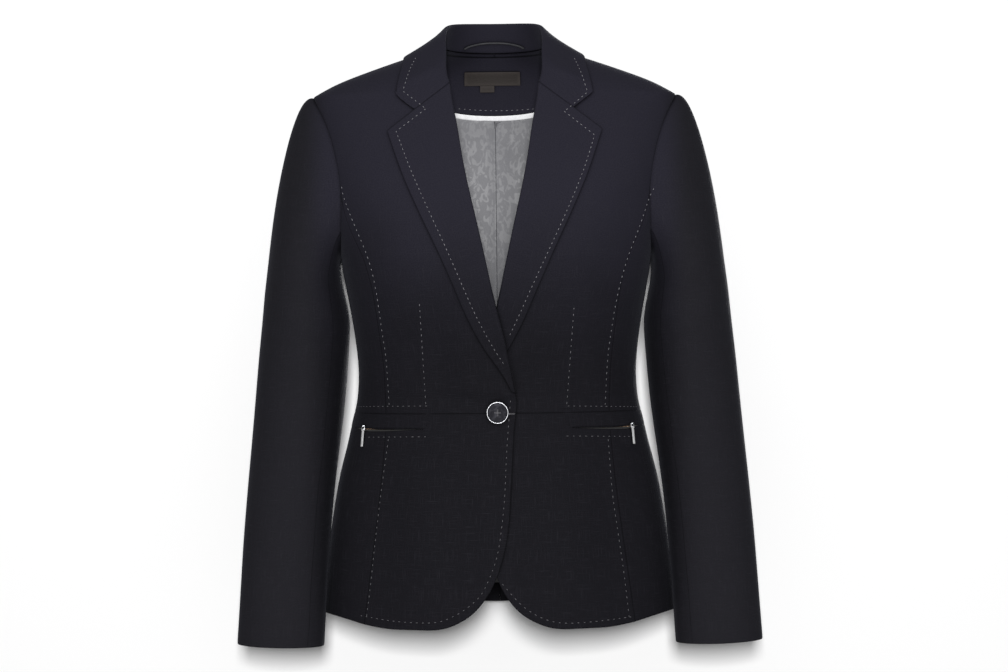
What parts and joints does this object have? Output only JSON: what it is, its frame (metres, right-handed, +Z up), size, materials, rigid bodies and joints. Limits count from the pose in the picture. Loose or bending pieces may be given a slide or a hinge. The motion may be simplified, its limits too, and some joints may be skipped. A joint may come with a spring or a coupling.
{
  "type": "blazer",
  "caption": "Fitted single-button blazer with notched lapels, princess seams, a waist seam and two zipped waist pockets, filled out as it is worn and hollow inside.",
  "frame": {"origin": "middle of the neck, level with the side neck points, where the wearer's neck and shoulders hold the garment", "axes": "+X to the right as seen from the front, -Y to the front, +Z up"},
  "size_m": [0.5682, 0.26, 0.6832],
  "materials": {
    "cloth": "matte plain weave with a soft sheen",
    "lining": "satin with a tone-on-tone weave",
    "satin": "satin",
    "label": "satin",
    "zip_tape": "matte",
    "metal": "polished",
    "button": "gloss"
  },
  "bodies": {
    "jacket": {"front_upper_left": "cloth", "side_front_upper_left": "cloth", "pocket_band_left": "cloth", "front_lower_left": "cloth", "side_front_lower_left": "cloth", "back_left": "cloth", "side_back_left": "cloth", "top_sleeve_left": "cloth", "under_sleeve_left": "cloth", "lapel_left": "cloth", "back_lining_left": "lining", "zip_tape_left": "zip_tape", "zip_slider_left": "metal", "front_upper_right": "cloth", "side_front_upper_right": "cloth", "pocket_band_right": "cloth", "front_lower_right": "cloth", "side_front_lower_right": "cloth", "back_right": "cloth", "side_back_right": "cloth", "top_sleeve_right": "cloth", "under_sleeve_right": "cloth", "lapel_right": "cloth", "back_lining_right": "lining", "zip_tape_right": "zip_tape", "zip_slider_right": "metal", "collar": "cloth", "neck_facing": "cloth", "piping": "satin", "hanger_loop": "satin", "label": "label", "size_tab": "label", "button": "button", "button_rim": "metal"},
    "pull_ring_left": {"zip_ring_left": "metal"},
    "pull_bar_left": {"zip_bar_left": "metal"},
    "pull_ring_right": {"zip_ring_right": "metal"},
    "pull_bar_right": {"zip_bar_right": "metal"}
  },
  "joints": [
    {"name": "pull_ring_lift_left", "type": "hinge", "parent": "jacket", "child": "pull_ring_left", "pos_m": [-0.14524, -0.05118, -0.41347], "axis": [-0.6338, 0.7666, -0.1028], "range_deg": [0, 90]},
    {"name": "pull_bar_swing_left", "type": "hinge", "parent": "pull_ring_left", "child": "pull_bar_left", "pos_m": [-0.14558, -0.05207, -0.41797], "axis": [-0.6338, 0.7666, -0.1028], "range_deg": [0, 75]},
    {"name": "pull_ring_lift_right", "type": "hinge", "parent": "jacket", "child": "pull_ring_right", "pos_m": [0.14524, -0.05118, -0.41347], "axis": [-0.6338, -0.7666, 0.1028], "range_deg": [0, 90]},
    {"name": "pull_bar_swing_right", "type": "hinge", "parent": "pull_ring_right", "child": "pull_bar_right", "pos_m": [0.14558, -0.05207, -0.41797], "axis": [-0.6338, -0.7666, 0.1028], "range_deg": [0, 75]}
  ]
}
